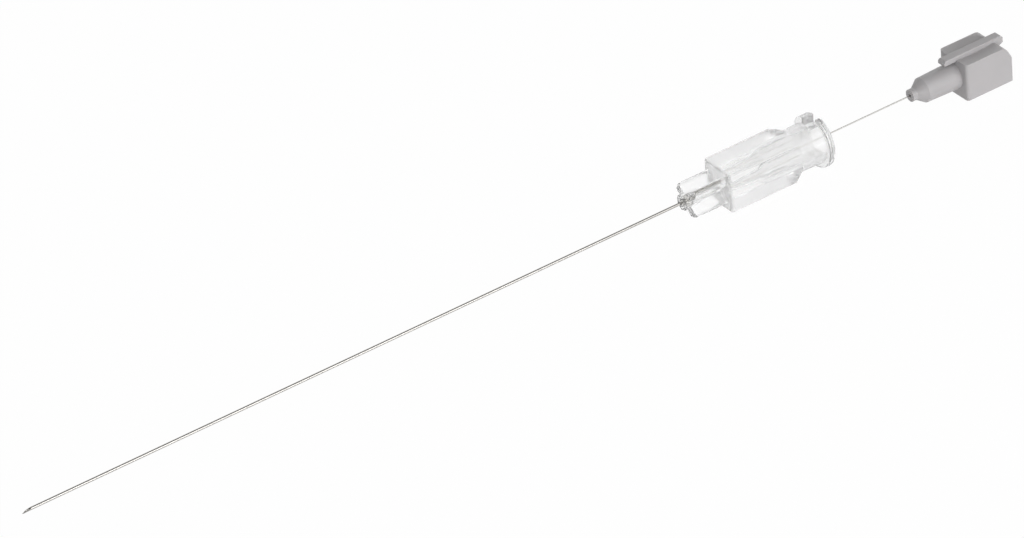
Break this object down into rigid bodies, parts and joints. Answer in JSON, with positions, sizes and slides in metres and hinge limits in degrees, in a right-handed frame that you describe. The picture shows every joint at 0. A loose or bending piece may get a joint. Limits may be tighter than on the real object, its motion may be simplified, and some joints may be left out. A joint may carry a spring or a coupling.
{
  "type": "spinal needle",
  "caption": "Spinal needle: a long thin steel tube with a bevelled point in a clear Luer hub, and a wire stylet in a grey cap, drawn partly out.",
  "frame": {"origin": "centre of the hub's rear face, at the mouth of the Luer socket", "axes": "+X along the needle, from its point to the cap; +Z the side that the bevel faces, where the key slot is; the object lies along X"},
  "size_m": [0.1569, 0.0078, 0.0077],
  "materials": {
    "tube_steel": "drawn and polished stainless steel",
    "bond_resin": "cured clear adhesive, faintly amber",
    "hub_clear": "clear moulded plastic, polished",
    "wire_steel": "drawn stainless steel wire",
    "cap_grey": "satin grey moulded plastic"
  },
  "bodies": {
    "needle": {"cannula": "tube_steel", "needle_bond": "bond_resin", "needle_hub": "hub_clear"},
    "stylet": {"stylet_wire": "wire_steel", "stylet_cap": "cap_grey"}
  },
  "joints": [
    {"name": "stylet_slide", "type": "slide", "parent": "needle", "child": "stylet", "axis": [1, 0, 0], "range_m": [-0.02325, 0.1025]}
  ]
}
